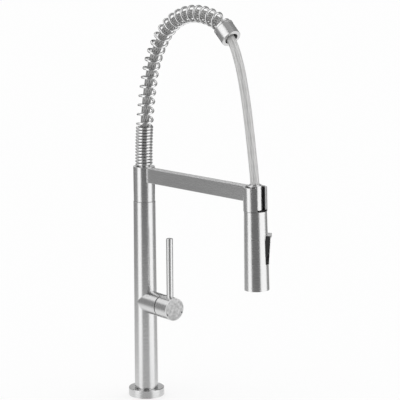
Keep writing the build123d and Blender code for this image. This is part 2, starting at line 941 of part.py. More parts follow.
def valve_core():
    """Plastic body inside the shell that leads the water and holds trigger and plunger."""
    top = roof_low - core_head_room
    body = rod(shell_bore - push_room, face_high, top)
    body -= rod(neck_spigot_radius + 2 * free_room, neck_spigot_low - spigot_end_room, top)
    body -= trigger_pocket()
    lug_room_depth = -pocket_floor + lug_depth + lug_depth_room
    lug_room_height = -trigger_low + lug_height + lug_height_room
    half = lug_width / 2 + free_room
    low = -trigger_low - trigger_gap
    side_cuts = block((-half, -pocket_floor, low), (half, lug_room_depth, lug_room_height))
    pin_hole = hinge_pin_radius + hinge_pin_room
    reach = hinge_pin_length / 2
    side_cuts += cross_rod(pin_hole, -reach, reach, -hinge_pin_depth, hinge_pin_place)
    plunger_place = hinge_pin_place + plunger_height
    plunger_hole = outward_rod(plunger_radius + turn_room, plunger_hole_end, pocket_floor, plunger_place)
    return spray_frame * (body - Rot(Z=trigger_side) * (side_cuts + plunger_hole))


def spray_face():
    """Round face that carries the nozzles and the aerator."""
    body = rod(face_radius - push_room, face_low, face_high)
    body -= rod(aerator_radius + push_room, face_low, face_low + aerator_height)
    for place in nozzle_places():
        body -= place * rod(nozzle_radius + push_room, face_low, face_low + 2 * nozzle_proud)
    return spray_frame * body


def aerator():
    """Round insert in the middle of the spray face."""
    return spray_frame * rod(aerator_radius, face_low - aerator_proud, face_low + aerator_height)


def nozzle_places():
    """Places of the soft nozzles, evenly round the aerator."""
    return [Rot(Z=360 * i / nozzle_count) * Pos(nozzle_ring_radius, 0, 0) for i in range(nozzle_count)]


def spray_nozzles():
    """Soft nozzles that stand a little proud of the spray face."""
    nozzle = rod(nozzle_radius, face_low - nozzle_proud, face_low + 2 * nozzle_proud)
    return Compound([spray_frame * place * nozzle for place in nozzle_places()])


# Trigger

def trigger_paddle():
    """Black body of the trigger, with the lug that its pin passes through."""
    half = trigger_width / 2
    front = rod(trigger_front_radius - trigger_plate_thickness, -trigger_low, -trigger_high)
    back = -pocket_floor - trigger_back_gap
    body = front & block((-half, -trigger_front_radius, -trigger_low), (half, back, -trigger_high))
    lug_low = hinge_pin_place - lug_height / 2
    lug_start = (-lug_width / 2, back - lug_root, lug_low)
    body += block(lug_start, (lug_width / 2, back + lug_depth, lug_low + lug_height))
    pin_hole = hinge_pin_radius + hinge_pin_room
    body -= cross_rod(pin_hole, -lug_width, lug_width, -hinge_pin_depth, hinge_pin_place)
    return trigger_rest_frame * body


def trigger_plate():
    """Metal front of the trigger, with a lip for the thumb along its upper edge."""
    half = trigger_width / 2
    inner = trigger_front_radius - trigger_plate_thickness
    sheet = turned(
        (inner, -trigger_low),
        (trigger_front_radius, -trigger_low),
        (trigger_front_radius, -trigger_high - trigger_lip_height),
        (trigger_front_radius + trigger_lip, -trigger_high),
        (trigger_front_radius + trigger_lip - trigger_plate_thickness, -trigger_high),
        (inner, -trigger_high - trigger_lip / 2),
    )
    front = block((-half, -2 * trigger_front_radius, -trigger_low), (half, 0, -trigger_high))
    return trigger_rest_frame * (sheet & front)


def trigger_pin():
    """Pin that the trigger turns on."""
    half = hinge_pin_length / 2 - push_room
    return trigger_frame * cross_rod(hinge_pin_radius, -half, half, -hinge_pin_depth, hinge_pin_place)


def diverter_plunger():
    """Plunger between the trigger's back and the valve core."""
    height = hinge_pin_place + plunger_height
    tip = pocket_floor + trigger_back_gap + plunger_height * sin(radians(trigger_tilt)) - free_room
    return trigger_frame * outward_rod(plunger_radius, tip - plunger_length, tip, height)


fixing_pieces = (mounting_shank, deck_washer, clamp_washer, lock_nut, nut_screws)
column_pieces = (base_flange, base_seal, column_body, cartridge_socket, mixer_core, riser_tube)
cartridge_pieces = (cartridge_housing, cartridge, cartridge_nut, bonnet_ring, stem_turret, tilt_pin)
handle_pieces = (cartridge_stem, handle_hub, handle_lever, set_screw, index_marks)
swivel_pieces = (swivel_spigot, spigot_o_rings, thrust_washer, retaining_clip, swivel_bushes)
spout_pieces = (swivel_sleeve, sleeve_cap, hose_nipple, holder_arm, arm_screws, holder_ring, ring_liner)
neck_pieces = (spring, spring_ferrule, hose_guide, spray_hose)
spray_pieces = (spray_neck, hose_crimp, neck_clip, dock_seal, spray_shell, valve_core)
face_pieces = (spray_face, aerator, spray_nozzles)
trigger_pieces = (trigger_paddle, trigger_plate, trigger_pin, diverter_plunger)

os.makedirs("parts", exist_ok=True)
for group in (
    fixing_pieces,
    column_pieces,
    cartridge_pieces,
    handle_pieces,
    swivel_pieces,
    spout_pieces,
    neck_pieces,
    spray_pieces,
    face_pieces,
    trigger_pieces,
):
    for make_piece in group:
        export_step(make_piece(), f"parts/{make_piece.__name__}.step")
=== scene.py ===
# %% [markdown]
# # A spring-neck kitchen faucet in brushed steel
# The faucet stands on a round foot, and a tall column carries a swivel sleeve, a flat arm and a long coil spring.
# A hose runs inside the spring, comes down through the ferrule and ends in a spray that docks in the arm's ring.
# The measured shapes come from the CAD model. Blender adds what the eye needs: smooth turned forms with small
# rounded edges, brushed metal, the braid of the hose, a plain floor and studio light.

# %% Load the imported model
import json
from math import cos, pi, radians, sin

import bmesh
import bpy
from mathutils import Matrix, Vector


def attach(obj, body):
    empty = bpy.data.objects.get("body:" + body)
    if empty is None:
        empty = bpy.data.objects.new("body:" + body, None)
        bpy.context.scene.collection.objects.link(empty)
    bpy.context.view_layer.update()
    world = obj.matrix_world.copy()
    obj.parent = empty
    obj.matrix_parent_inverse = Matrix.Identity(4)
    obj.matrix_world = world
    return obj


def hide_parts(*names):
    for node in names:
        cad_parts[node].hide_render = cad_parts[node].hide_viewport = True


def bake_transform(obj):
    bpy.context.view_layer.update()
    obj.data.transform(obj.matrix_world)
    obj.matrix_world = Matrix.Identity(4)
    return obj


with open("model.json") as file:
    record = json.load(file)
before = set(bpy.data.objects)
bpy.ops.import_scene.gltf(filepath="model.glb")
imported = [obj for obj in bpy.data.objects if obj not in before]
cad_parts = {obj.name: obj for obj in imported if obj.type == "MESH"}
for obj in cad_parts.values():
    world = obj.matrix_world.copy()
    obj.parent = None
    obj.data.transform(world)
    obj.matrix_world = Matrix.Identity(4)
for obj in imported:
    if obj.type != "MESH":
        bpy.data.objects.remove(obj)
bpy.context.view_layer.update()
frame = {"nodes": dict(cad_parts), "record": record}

# %% [markdown]
# ## Camera
# The photograph was taken from the left of the arm, a little above the faucet and with a long lens, so the column's
# sides stay nearly parallel. The camera stands at that place and looks down by about eleven degrees. A camera looks
# along its own -Z axis, so its turn is built here from three directions: right, up and back.

# %% Place the camera
across = Vector((0.7877, -0.6161, 0.0))
away = Vector((0.6161, 0.7877, 0.0))
upright = Vector((0.0, 0.0, 1.0))
pitch = radians(11.17)
look = away * cos(pitch) - upright * sin(pitch)
picture_up = away * sin(pitch) + upright * cos(pitch)
turn = Matrix((across, picture_up, -look)).transposed().to_4x4()
camera_place = across * 0.077 - away * 2.6 + upright * 0.7922

lens = bpy.data.cameras.new("photo_lens")
lens.lens = 172.1
lens.sensor_width = 36.0
lens.clip_end = 60.0
camera = bpy.data.objects.new("photo_camera", lens)
camera.matrix_world = Matrix.Translation(camera_place) @ turn @ Matrix.Rotation(radians(-0.3183), 4, "Z")
bpy.context.scene.collection.objects.link(camera)
bpy.context.scene.camera = camera
bpy.context.scene.view_settings.view_transform = "Standard"
print("camera at", [round(x, 3) for x in camera_place])

# %% [markdown]
# ## Floor and light
# Metal shows its surroundings more than its own colour, so the light is made of large bright and dark walls. The
# photograph's column has a bright band, a wide grey band and another bright band, from left to right. Those bands
# are a white screen on the left, the dark room behind the camera, and a white screen on the right. Each wall here is
# part of a tall round tent that only reflections can see. The floor is pale and takes a soft shadow, and part of it
# glows, so that it is as white as the photograph's background.

# %% Make the floor
def new_material(name):
    """A node material, with its nodes, its links and its Principled shader."""
    material = bpy.data.materials.new(name)
    material.use_nodes = True
    tree = material.node_tree
    return material, tree.nodes, tree.links, tree.nodes["Principled BSDF"]


def maths(nodes, links, operation, a, b):
    """One Math node, with values or sockets as its two inputs."""
    node = nodes.new("ShaderNodeMath")
    node.operation = operation
    for socket, value in zip(node.inputs, (a, b)):
        if isinstance(value, (int, float)):
            socket.default_value = value
        else:
            links.new(value, socket)
    return node.outputs[0]


def seen_rays(nodes, links):
    """One for rays of the camera, of reflections and of glass, and zero for the rays that only light things."""
    path = nodes.new("ShaderNodeLightPath").outputs
    total = maths(nodes, links, "ADD", path["Is Camera Ray"], path["Is Glossy Ray"])
    total = maths(nodes, links, "ADD", total, path["Is Transmission Ray"])
    total.node.use_clamp = True
    return total


floor_tone = 0.97
floor_glow = 0.68
floor_half_width = 20
floor_material, nodes, links, shader = new_material("pale_floor")
nodes.remove(shader)
output = nodes["Material Output"]
paint = nodes.new("ShaderNodeBsdfDiffuse")
paint.inputs["Color"].default_value = (floor_tone, floor_tone, floor_tone, 1)
glow = nodes.new("ShaderNodeEmission")
glow.inputs["Color"].default_value = (1, 1, 1, 1)
glow.inputs["Strength"].default_value = 1.0
share = maths(nodes, links, "MULTIPLY", seen_rays(nodes, links), floor_glow)
blend_in = nodes.new("ShaderNodeMixShader")
links.new(share, blend_in.inputs["Fac"])
links.new(paint.outputs[0], blend_in.inputs[1])
links.new(glow.outputs[0], blend_in.inputs[2])
links.new(blend_in.outputs[0], output.inputs["Surface"])

bm = bmesh.new()
bmesh.ops.create_grid(bm, x_segments=1, y_segments=1, size=floor_half_width)
floor_mesh = bpy.data.meshes.new("floor")
bm.to_mesh(floor_mesh)
bm.free()
floor_mesh.materials.append(floor_material)
floor = bpy.data.objects.new("floor", floor_mesh)
floor.visible_glossy = False
bpy.context.scene.collection.objects.link(floor)

# %% Light the room
world = bpy.data.worlds.new("studio")
bpy.context.scene.world = world
world.use_nodes = True
nodes, links = world.node_tree.nodes, world.node_tree.links
background = nodes["Background"]
background.inputs["Color"].default_value = (1, 1, 1, 1)
level = nodes.new("ShaderNodeMapRange")
level.inputs["To Min"].default_value = 0.55
level.inputs["To Max"].default_value = 1.0
links.new(seen_rays(nodes, links), level.inputs["Value"])
links.new(level.outputs["Result"], background.inputs["Strength"])

lamp = bpy.data.lights.new("soft_sun", "SUN")
lamp.energy = 1.5
lamp.angle = radians(120)
sun = bpy.data.objects.new("soft_sun", lamp)
sun.rotation_euler = (radians(-18), radians(14), 0)
sun.visible_glossy = False
bpy.context.scene.collection.objects.link(sun)

# %% [markdown]
# ## The tent that the steel reflects
# Bearing 0 is the camera's side, and bearings grow towards the camera's right. The walls fade towards a second
# brightness at their foot, as real walls do near a table, and two dark cards behind the faucet draw the dark edges of
# the spring's wire and of the arm. Flat lids close the tent below and above.

# %% Put up the tent
wall_distance = 1.05
card_distance = 0.5
front_table_reach = 0.75
table_depth = -0.28
ceiling_height = 2.4
table_glow_top = 0.05
table_glow_foot = -0.17
tent_steps = 24


def swept(start, end, first, second):
    """A round sheet from one bearing to another, between two points given as distance and height."""
    side = -away * cos(radians(start)) + across * sin(radians(start))
    bm = bmesh.new()
    ends = [bm.verts.new(side * distance + upright * height) for distance, height in (first, second)]
    geom = [*ends, bm.edges.new(ends)]
    bmesh.ops.spin(bm, geom=geom, cent=(0, 0, 0), axis=(0, 0, 1), angle=radians(end - start), steps=tent_steps)
    bmesh.ops.remove_doubles(bm, verts=bm.verts, dist=1e-6)
    return bm


def hang(bm, name, material):
    """Put up a piece of the tent, which only reflections can see."""
    mesh = bpy.data.meshes.new(name)
    bm.to_mesh(mesh)
    bm.free()
    mesh.materials.append(material)
    wall = bpy.data.objects.new(name, mesh)
    wall.visible_camera = False
    wall.visible_diffuse = False
    wall.visible_shadow = False
    wall.visible_transmission = False
    bpy.context.scene.collection.objects.link(wall)


def glowing(name):
    """A material that only shines, and its shader."""
    material, nodes, links, shader = new_material(name)
    nodes.remove(shader)
    light = nodes.new("ShaderNodeEmission")
    links.new(light.outputs[0], nodes["Material Output"].inputs["Surface"])
    return material, nodes, links, light


def tent_wall(name, start, end, brightness, foot_brightness, high, low=table_depth, distance=wall_distance):
    """A round wall from one bearing to another, with a brightness of its own at the foot."""
    material, nodes, links, light = glowing(name)
    place = nodes.new("ShaderNodeTexCoord")
    split = nodes.new("ShaderNodeSeparateXYZ")
    links.new(place.outputs["Object"], split.inputs["Vector"])
    fade = nodes.new("ShaderNodeMapRange")
    fade.inputs["From Min"].default_value = table_glow_top
    fade.inputs["From Max"].default_value = table_glow_foot
    links.new(split.outputs["Z"], fade.inputs["Value"])
    glow = nodes.new("ShaderNodeMapRange")
    glow.inputs["To Min"].default_value = brightness
    glow.inputs["To Max"].default_value = foot_brightness
    links.new(maths(nodes, links, "POWER", fade.outputs["Result"], 2.0), glow.inputs["Value"])
    links.new(glow.outputs["Result"], light.inputs["Strength"])
    hang(swept(start, end, (distance, low), (distance, high)), name, material)


def tent_lid(name, start, end, height, brightness, reach=wall_distance):
    """A flat part of the tent's ceiling or table, from one bearing to another."""
    material, nodes, links, light = glowing(name)
    light.inputs["Strength"].default_value = brightness
    hang(swept(start, end, (0, height), (reach, height)), name, material)


tent_wall("left_screen", -74, -34, 1.3, 1.3, ceiling_height)
tent_wall("dark_room", -34, 35, 0.17, 0.6, ceiling_height)
tent_wall("right_screen", 35, 91, 1.25, 1.25, ceiling_height)
tent_wall("grey_left", -150, -74, 0.3, 0.62, 0.62)
tent_wall("grey_right", 91, 150, 0.3, 0.56, ceiling_height)
tent_wall("pale_back", 150, 210, 0.8, 0.8, 0.62)
tent_wall("dark_card", 140, 220, 0.05, 0.05, 0.40, low=0.19, distance=card_distance)
tent_wall("high_dark_card", 140, 220, 0.05, 0.05, 0.85, low=0.56, distance=card_distance)
tent_lid("dark_table", -45, 45, table_depth, 0.12, reach=front_table_reach)
tent_lid("pale_table", 45, 315, table_depth, 0.9)
tent_lid("front_table", -45, 45, table_depth - 0.01, 0.6)
tent_lid("grey_ceiling", 0, 360, ceiling_height, 0.4)
print("the tent is", 2 * wall_distance, "m wide")

# %% [markdown]
# ## How a turned piece is made
# Nearly every part of this faucet is turned on a lathe, so Blender's spin does the same work. The outline of a
# section is drawn as a few points of radius and height, and `bmesh.ops.spin` carries it round the axis. A plain
# cylinder would have edges that are too perfect to catch the light, so the sharp rings are bevelled afterwards.
# A Weighted Normal modifier then keeps the long walls flat in shade, so that only the small bevels curve.

# %% Spin, soften and finish a piece
METRE = 0.001


def lathe(outline, steps=96, closed=True):
    """Turn an outline of (radius, height) in millimetres about the Z axis."""
    bm = bmesh.new()
    corners = [bm.verts.new((radius, 0, height)) for radius, height in outline]
    ends = corners[1:] + corners[:1] if closed else corners[1:]
    sides = [bm.edges.new(pair) for pair in zip(corners, ends)]
    bmesh.ops.spin(
        bm, geom=corners + sides, cent=(0, 0, 0), axis=(0, 0, 1), angle=2 * pi, steps=steps, use_merge=True
    )
    bmesh.ops.remove_doubles(bm, verts=bm.verts, dist=0.001)
    bmesh.ops.recalc_face_normals(bm, faces=bm.faces)
    return bm


def soften(bm, width, segments=3, where=None, angle=30):
    """Bevel the sharp edges, or only those whose middle point passes the test."""
    sharp = [edge for edge in bm.edges if edge.is_manifold and edge.calc_face_angle() > radians(angle)]
    if where:
        sharp = [edge for edge in sharp if where((edge.verts[0].co + edge.verts[1].co) / 2)]
    bmesh.ops.bevel(
        bm, geom=sharp, offset=width, segments=segments, profile=0.5, affect="EDGES", material=-1, clamp_overlap=True
    )


def finish_piece(bm, name, body, material, place=Matrix(), stands_for=(), sharp_angle=40):
    """Put the mesh in its place, in metres, and hand it to its body and material."""
    bmesh.ops.transform(bm, matrix=Matrix.Scale(METRE, 4) @ place, verts=bm.verts)
    mesh = bpy.data.meshes.new(name)
    bm.to_mesh(mesh)
    bm.free()
    mesh.shade_smooth()
    mesh.set_sharp_from_angle(angle=radians(sharp_angle))
    mesh.materials.append(material)
    piece = bpy.data.objects.new(name, mesh)
    bpy.context.scene.collection.objects.link(piece)
    shade = piece.modifiers.new("flat_walls", "WEIGHTED_NORMAL")
    shade.keep_sharp = True
    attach(piece, body)
    if stands_for:
        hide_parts(*stands_for)
    print(f"{name}: {len(mesh.polygons)} faces")
    return piece


# %% [markdown]
# ## Where the pieces stand
# The faucet has a few axes of its own: the cartridge's axis points out of the column, the arm and the spray lean by
# 1.7 degrees, and the trigger looks sideways out of the spray. Each piece is drawn upright at the origin and then
# placed by the matrix of its axis, so that the outlines stay simple.

# %% Name the axes of the faucet
def moved(x, y, z):
    """A shift in millimetres."""
    return Matrix.Translation((x, y, z))


valve_axis = moved(0, 0, 136) @ Matrix.Rotation(radians(90), 4, "X")
arm_lean = 1.7
arm_axis = moved(0, 0, 315.8) @ Matrix.Rotation(radians(-arm_lean), 4, "X")
spray_axis = arm_axis @ moved(0, -240, 0)
trigger_axis = spray_axis @ Matrix.Rotation(radians(50), 4, "Z")
hinge = moved(0, -7.6, -87.3)
trigger_rest = trigger_axis @ hinge @ Matrix.Rotation(radians(4.4), 4, "X") @ hinge.inverted()
print("spray axis passes", [round(x, 1) for x in spray_axis.translation])

# %% [markdown]
# ## Brushed steel
# Brushed steel is metal with thousands of fine scratches that all run one way. On a turned piece they run round it,
# on the flat arm they run along it. A Noise texture gives them when its space is stretched: it changes quickly
# across the scratches and slowly along them. The same noise varies the colour, the roughness and the bump a little,
# so that the bands of light stay soft and slightly uneven, as on the real faucet. The end face of the handle's hub is
# blasted instead: the mask that tells it from the wall comes from its depth along the hub.

# %% Mix the brushed steels
def spread(nodes, links, source, low, high):
    """Map a noise value to a range."""
    node = nodes.new("ShaderNodeMapRange")
    node.inputs["From Min"].default_value = 0.3
    node.inputs["From Max"].default_value = 0.7
    node.inputs["To Min"].default_value = low
    node.inputs["To Max"].default_value = high
    links.new(source, node.inputs["Value"])
    return node.outputs["Result"]


def grain(nodes, links, stretch, lean=0.0, detail=4.0):
    """Noise in the piece's own space, stretched along each axis, in changes per metre."""
    place = nodes.new("ShaderNodeTexCoord")
    mapping = nodes.new("ShaderNodeMapping")
    mapping.inputs["Rotation"].default_value = (radians(lean), 0, 0)
    mapping.inputs["Scale"].default_value = stretch
    noise = nodes.new("ShaderNodeTexNoise")
    noise.inputs["Scale"].default_value = 1.0
    noise.inputs["Detail"].default_value = detail
    noise.inputs["Roughness"].default_value = 0.6
    links.new(place.outputs["Object"], mapping.inputs["Vector"])
    links.new(mapping.outputs["Vector"], noise.inputs["Vector"])
    return noise.outputs["Fac"]


def two_tones(nodes, links, factor, dark, light):
    """Mix two colours by a value."""
    mix = nodes.new("ShaderNodeMix")
    mix.data_type = "RGBA"
    mix.inputs["A"].default_value = (*dark, 1)
    mix.inputs["B"].default_value = (*light, 1)
    links.new(factor, mix.inputs["Factor"])
    return mix.outputs["Result"]


def relief(nodes, links, shader, height, strength, depth):
    """Bump the surface by a height value. The depth is in metres."""
    bump = nodes.new("ShaderNodeBump")
    bump.inputs["Strength"].default_value = strength
    bump.inputs["Distance"].default_value = depth
    links.new(height, bump.inputs["Height"])
    links.new(bump.outputs["Normal"], shader.inputs["Normal"])


scratch_tone = 0.018


def brushed_steel(name, stretch, lean=0.0, tone=0.74, rough=0.25):
    """Steel with fine scratches. They are short across the axes with a large stretch."""
    material, nodes, links, shader = new_material(name)
    shader.inputs["Metallic"].default_value = 1.0
    lines = grain(nodes, links, stretch, lean)
    strokes = spread(nodes, links, lines, 0.0, 1.0)
    dark = (tone - scratch_tone, tone - scratch_tone, tone - 0.9 * scratch_tone)
    light = (tone + scratch_tone, tone + scratch_tone, tone + scratch_tone)
    links.new(two_tones(nodes, links, strokes, dark, light), shader.inputs["Base Color"])
    links.new(spread(nodes, links, lines, rough - 0.03, rough + 0.04), shader.inputs["Roughness"])
    relief(nodes, links, shader, lines, 0.06, 0.00002)
    return material


turned_steel = brushed_steel("turned_steel", (9, 9, 3200))
spray_steel = brushed_steel("spray_steel", (9, 9, 3200), lean=arm_lean)
valve_steel = brushed_steel("valve_steel", (9, 3200, 9))
arm_steel = brushed_steel("arm_steel", (1800, 7, 1800), lean=arm_lean)


def hub_steel_finish():
    """The hub's wall is brushed round, and its end face is blasted, so it is rougher and mottled."""
    material = brushed_steel("hub_steel", (9, 3200, 9))
    nodes, links = material.node_tree.nodes, material.node_tree.links
    shader = nodes["Principled BSDF"]
    place = nodes.new("ShaderNodeTexCoord")
    split = nodes.new("ShaderNodeSeparateXYZ")
    links.new(place.outputs["Object"], split.inputs["Vector"])
    face = nodes.new("ShaderNodeMapRange")
    face.inputs["From Min"].default_value = -0.0668
    face.inputs["From Max"].default_value = -0.0669
    links.new(split.outputs["Y"], face.inputs["Value"])
    speckle = grain(nodes, links, (260, 260, 260), detail=5.0)
    # A Mix node keeps a set of sockets for each kind of data, so they are picked by their places: A, B and the result
    mixes = (("Base Color", "RGBA", (6, 7, 2), (0.32, 0.66)), ("Roughness", "FLOAT", (2, 3, 0), (0.36, 0.46)))
    for socket, kind, (wall_place, face_place, result_place), tones in mixes:
        wall = shader.inputs[socket].links[0].from_socket
        mix = nodes.new("ShaderNodeMix")
        mix.data_type = kind
        links.new(face.outputs["Result"], mix.inputs["Factor"])
        links.new(wall, mix.inputs[wall_place])
        links.new(spread(nodes, links, speckle, *tones), mix.inputs[face_place])
        links.new(mix.outputs[result_place], shader.inputs[socket])
    return material


hub_steel = hub_steel_finish()
print("brushed steels:", [m.name for m in (turned_steel, spray_steel, valve_steel, arm_steel, hub_steel)])

# %% [markdown]
# ## Foot and column
# The foot is a low disc with a slightly rounded top edge. The column above it is a tube that tapers by about two
# millimetres over its height, and a narrow groove parts it from the foot. Both are one spin of a closed outline, so
# they are real tubes with a wall and not filled bars.

# %% Turn the foot and the column
bm = lathe([(14.1, 0), (18, 0), (18, 2), (23.5, 2), (23.5, 0), (25, 0), (25, 11), (14.1, 11)])
soften(bm, 0.8, 4, where=lambda p: p.xy.length > 24.5 and p.z > 10)
soften(bm, 0.25, 2, where=lambda p: p.xy.length > 24.5 and p.z < 1)
finish_piece(bm, "foot_disc", "base", turned_steel, stands_for=["base_flange"])

bm = lathe([(13.6, 11), (14.3, 11), (14.3, 12.4), (16.4, 12.4), (15.3, 278), (13.6, 278)])
soften(bm, 0.3, 3, where=lambda p: p.xy.length > 15.2 and (p.z > 277 or 12 < p.z < 13))
finish_piece(bm, "column_tube", "base", turned_steel, stands_for=["column_body"])

# %% [markdown]
# ## Cartridge socket, hub and lever
# The socket is a short tube on the column's front, and the handle's hub swings on its mouth. The hub is a solid
# round block with a slightly domed end, and the lever is a slim rod that stands in its top. The rounded nose between
# them is part of a ball, so that the hub can tilt on it.

# %% Turn the socket and the bonnet ring
bm = lathe([(13.2, 2), (15.75, 2), (15.75, 40.2), (13.2, 40.2)])
soften(bm, 0.35, 3, where=lambda p: p.xy.length > 15 and p.z > 39)
finish_piece(bm, "socket_tube", "base", valve_steel, valve_axis, ["cartridge_socket"])

nose_radius, nose_centre, nose_start, nose_end = 14, 33.5, radians(46.76), radians(61.38)
nose_angles = [nose_start + (nose_end - nose_start) * i / 6 for i in range(7)]
nose = [(nose_radius * sin(a), nose_centre + nose_radius * cos(a)) for a in nose_angles]
bm = lathe(nose + [(13.1, 40.2), (13.1, 37), (11.3, 37), (11.3, 39.2), (10.2, 39.2)])
finish_piece(bm, "bonnet_nose", "base", valve_steel, valve_axis, ["bonnet_ring"])

# %% Turn the hub and the lever
hub_outline = [(0, 49), (15, 49), (15, 42.2), (15.9, 42.2), (15.9, 66.8), (12, 67.15), (6, 67.42), (0, 67.5)]
bm = lathe(hub_outline, closed=False)
soften(bm, 0.5, 4, where=lambda p: p.xy.length > 15.5 and p.z > 67)
soften(bm, 0.15, 2, where=lambda p: p.xy.length > 14.9 and p.z < 42.5)
finish_piece(bm, "hub_block", "handle", hub_steel, valve_axis, ["handle_hub"])

bm = lathe([(0, 4.2), (4.7, 4.2), (4.7, 98.2), (0, 98.2)], steps=64, closed=False)
soften(bm, 0.9, 5, where=lambda p: p.z > 98)
finish_piece(bm, "lever_rod", "handle", turned_steel, moved(0, -56.8, 136), ["handle_lever"])

# %% [markdown]
# ## Sleeve and arm
# The sleeve on the column's top turns with the whole spout. The arm is a flat bar with barely rounded edges. It
# reaches from the sleeve's wall to the ring's wall, so its ends are hidden inside both.

# %% Turn the sleeve and cut the arm
bm = lathe([(11.7, 278.7), (14.8, 278.7), (14.8, 327.3), (11.7, 327.3)])
soften(bm, 0.5, 3, where=lambda p: p.xy.length > 14.5)
finish_piece(bm, "sleeve_tube", "spout", turned_steel, stands_for=["swivel_sleeve"])

bm = bmesh.new()
bmesh.ops.create_cube(bm, size=1)
arm_width, arm_length, arm_height, arm_root = 12, 212.3, 20, 13.5
bmesh.ops.scale(bm, vec=(arm_width, arm_length, arm_height), verts=bm.verts)
bmesh.ops.translate(bm, vec=(0, -(arm_root + arm_length / 2), 0), verts=bm.verts)
long_edges = [edge for edge in bm.edges if abs(edge.verts[0].co.y - edge.verts[1].co.y) > 100]
bmesh.ops.bevel(bm, geom=long_edges, offset=0.6, segments=3, profile=0.5, affect="EDGES", material=-1)
finish_piece(bm, "arm_bar", "spout", arm_steel, arm_axis, ["holder_arm"])

# %% [markdown]
# ## Docking ring
# The ring is a short tube with a slot down its front, wide enough to let the hose in. It starts as a full turn.
# Two bisecting planes score it along the slot's sides, the faces between them are deleted, and the open ends are
# closed again, one face for each side of the slot.

# %% Turn the ring and cut its slot
def cut_slot(bm, half_width):
    """Open a turned ring towards -Y between two upright planes, and close the cut faces."""
    for side in (-1, 1):
        front = [face for face in bm.faces if face.calc_center_median().y < -1]
        geom = front + list({edge for face in front for edge in face.edges} | {v for f in front for v in f.verts})
        bmesh.ops.bisect_plane(
            bm, geom=geom, dist=0.0001, plane_co=(side * half_width, 0, 0), plane_no=(1, 0, 0)
        )
    between = [f for f in bm.faces if f.calc_center_median().y < 0 and abs(f.calc_center_median().x) < half_width]
    bmesh.ops.delete(bm, geom=between, context="FACES")
    rims = [edge for edge in bm.edges if edge.is_boundary]
    bmesh.ops.edgenet_fill(bm, edges=rims)
    bmesh.ops.recalc_face_normals(bm, faces=bm.faces)


slot_half = 7.7
bm = lathe([(13, -21), (15.6, -21), (15.6, 10), (13, 10)], steps=128)
cut_slot(bm, slot_half)
soften(bm, 0.6, 4)
finish_piece(bm, "dock_ring", "spout", spray_steel, spray_axis, ["holder_ring"])

# %% [markdown]
# ## Black plastic and rubber
# The ring's lining, the ferrule's lining and the trigger's paddle are moulded plastic. Moulded black is never
# flat: it has a fine grain and a soft, uneven gloss, so a small noise drives its roughness and its bump.

# %% Mix the plastics, the rubber and the small metals
def moulded(name, dark, light, rough, texture=1600, relief_depth=0.00004):
    """Plastic or rubber with a fine grain."""
    material, nodes, links, shader = new_material(name)
    grains = grain(nodes, links, (texture, texture, texture), detail=2.0)
    cloud = grain(nodes, links, (60, 60, 60), detail=2.0)
    links.new(two_tones(nodes, links, cloud, dark, light), shader.inputs["Base Color"])
    links.new(spread(nodes, links, grains, rough - 0.06, rough + 0.08), shader.inputs["Roughness"])
    relief(nodes, links, shader, grains, 0.15, relief_depth)
    return material


black_plastic = moulded("black_plastic_grain", (0.02, 0.02, 0.021), (0.042, 0.042, 0.044), 0.42)
grey_plastic = moulded("grey_plastic_grain", (0.28, 0.29, 0.30), (0.38, 0.39, 0.40), 0.45)
black_rubber = moulded("black_rubber_grain", (0.014, 0.014, 0.014), (0.035, 0.035, 0.035), 0.7)
white_ceramic = moulded("white_ceramic_grain", (0.80, 0.79, 0.75), (0.88, 0.87, 0.84), 0.3)
inlay_dark = moulded("inlay_dark_grain", (0.08, 0.08, 0.09), (0.16, 0.16, 0.17), 0.3)

plain_steel = brushed_steel("machined_steel", (250, 250, 1100), tone=0.56, rough=0.3)
lip_steel = brushed_steel("satin_lip_steel", (120, 120, 700), lean=arm_lean, tone=0.9, rough=0.38)
brass_metal, nodes, links, shader = new_material("machined_brass")
shader.inputs["Metallic"].default_value = 1.0
marks = grain(nodes, links, (200, 200, 900))
links.new(two_tones(nodes, links, marks, (0.62, 0.47, 0.24), (0.78, 0.64, 0.38)), shader.inputs["Base Color"])
links.new(spread(nodes, links, marks, 0.24, 0.38), shader.inputs["Roughness"])
relief(nodes, links, shader, marks, 0.1, 0.00005)
print("materials so far:", len(bpy.data.materials))

# %% [markdown]
# ## Small marks and seals
# Two small inlays in the hub's face mark hot and cold. They stand a little proud, so that each catches a spot of
# light. The slip washer fills the fine seam between the column and the sleeve, and the ring's black lining shows in
# its slot.

# %% Set the inlays in the hub's face
bm = bmesh.new()
for side in (-1, 1):
    dot = bmesh.ops.create_cone(bm, cap_ends=True, segments=24, radius1=1.15, radius2=1.15, depth=0.7)
    bmesh.ops.translate(bm, vec=(side * 12.2, -5.9, 67.05), verts=dot["verts"])
soften(bm, 0.1, 2)
finish_piece(bm, "inlays", "handle", inlay_dark, valve_axis, ["index_marks"])

# %% Turn the slip washer under the sleeve
bm = lathe([(12, 278.03), (14.78, 278.03), (14.78, 278.67), (12, 278.67)])
finish_piece(bm, "slip_washer", "base", plain_steel, stands_for=["thrust_washer"])

# %% Line the ring and seat the seal
bm = lathe([(10.3, -19.2), (12.9, -19.2), (12.9, 10.2), (10.3, 10.2)], steps=128)
cut_slot(bm, slot_half)
soften(bm, 0.2, 2)
finish_piece(bm, "ring_lining", "spout", black_plastic, spray_axis, ["ring_liner"])

bm = lathe([(10.3, -21.4), (12.7, -21.4), (12.7, -20.1), (10.3, -20.1)])
soften(bm, 0.4, 3)
finish_piece(bm, "shoulder_seal", "spray_head", black_rubber, spray_axis, ["dock_seal"])

